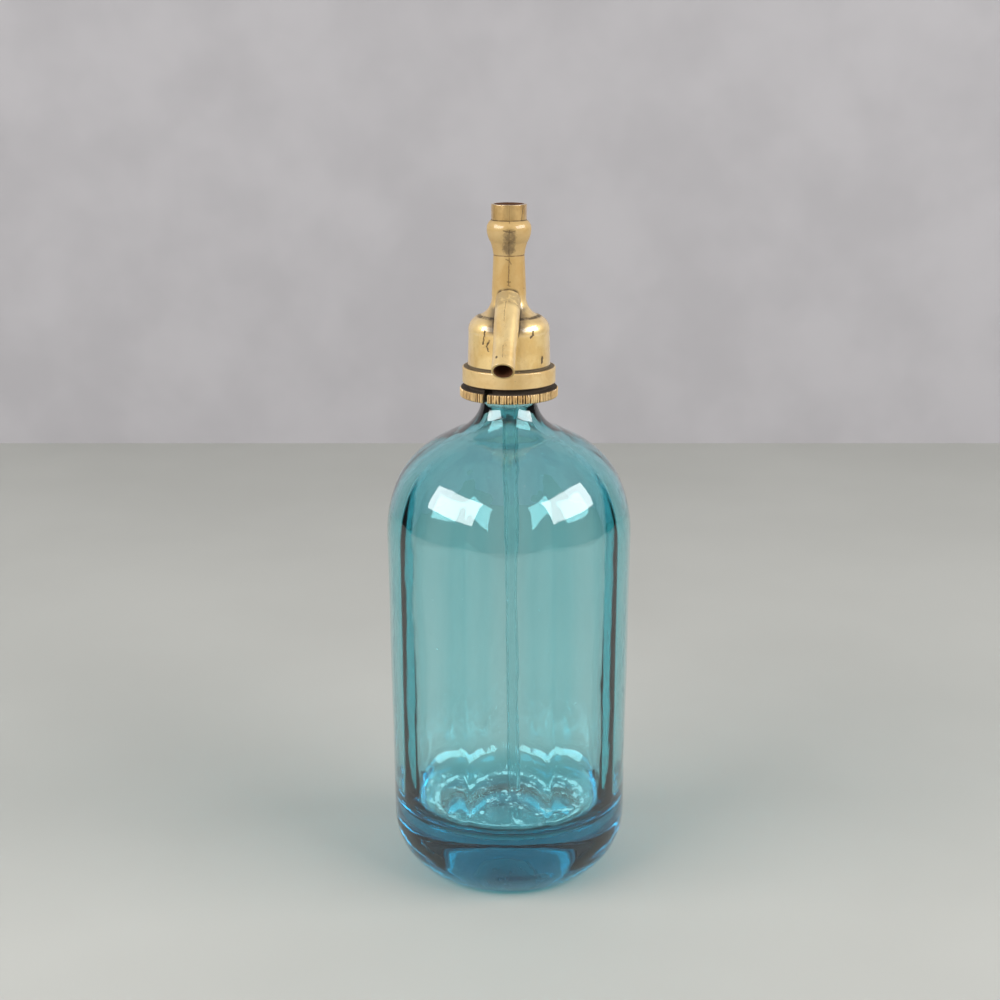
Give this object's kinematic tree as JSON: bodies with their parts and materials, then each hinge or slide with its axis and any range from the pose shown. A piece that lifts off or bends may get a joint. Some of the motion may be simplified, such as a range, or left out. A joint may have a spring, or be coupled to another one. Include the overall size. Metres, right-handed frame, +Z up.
{
  "type": "soda siphon",
  "caption": "Refillable soda siphon: thick turquoise glass bottle, split knurled neck ring, cast brass head with sloping spout, spring-closed valve and a trailing thumb lever.",
  "frame": {"origin": "on the bottle's axis, at the flat ring the bottle stands on", "axes": "+Z up along the bottle's axis, -Y the way the spout points, +Y the side of the lever"},
  "size_m": [0.108, 0.108, 0.3],
  "materials": {
    "bottle_glass": "thick blown turquoise glass, glossy, lime marks inside",
    "tube_glass": "thin clear glass tube",
    "cast_brass": "cast, worn and polished, dark patina in hollows",
    "spout_brass": "polished, worn",
    "collar_brass": "polished, worn",
    "ring_brass": "knurled rim, dark patina on the upper face",
    "lever_brass": "polished, worn",
    "machined_brass": "turned, dull",
    "spring_steel": "drawn wire, dull",
    "rubber": "old black rubber",
    "fibre": "red fibre"
  },
  "bodies": {
    "root": {"bottle": "bottle_glass", "dip_tube": "tube_glass", "tube_bush": "rubber", "tube_holder": "machined_brass", "holder_washer": "fibre", "neck_gasket": "rubber", "ring_half_left": "ring_brass", "ring_half_right": "ring_brass", "ring_liner": "rubber", "head_body": "cast_brass", "spout": "spout_brass", "top_collar": "collar_brass", "valve_seat": "machined_brass", "stem_packing": "rubber", "packing_washer": "machined_brass", "gland_nut": "machined_brass", "spring_washer": "machined_brass", "return_spring": "spring_steel", "fulcrum_pin": "spring_steel"},
    "lever": {"lever": "lever_brass"},
    "stem": {"valve_stem": "machined_brass", "valve_rubber": "rubber", "valve_cup": "machined_brass", "valve_nut": "machined_brass"}
  },
  "joints": [
    {"name": "lever_hinge", "type": "hinge", "parent": "root", "child": "lever", "pos_m": [0, -0.0049, 0.2884], "axis": [-1, 0, 0], "range_deg": [0, 16], "stiffness_Nm_per_rad": 0.06, "springref_deg": -28.65},
    {"name": "stem_slide", "type": "slide", "parent": "root", "child": "stem", "axis": [0, 0, -1], "range_m": [0, 0.0017], "deforming": ["return_spring"]}
  ],
  "couplings": [
    {"joint": "stem_slide", "follows": "lever_hinge", "m_per_rad": 0.00595}
  ]
}
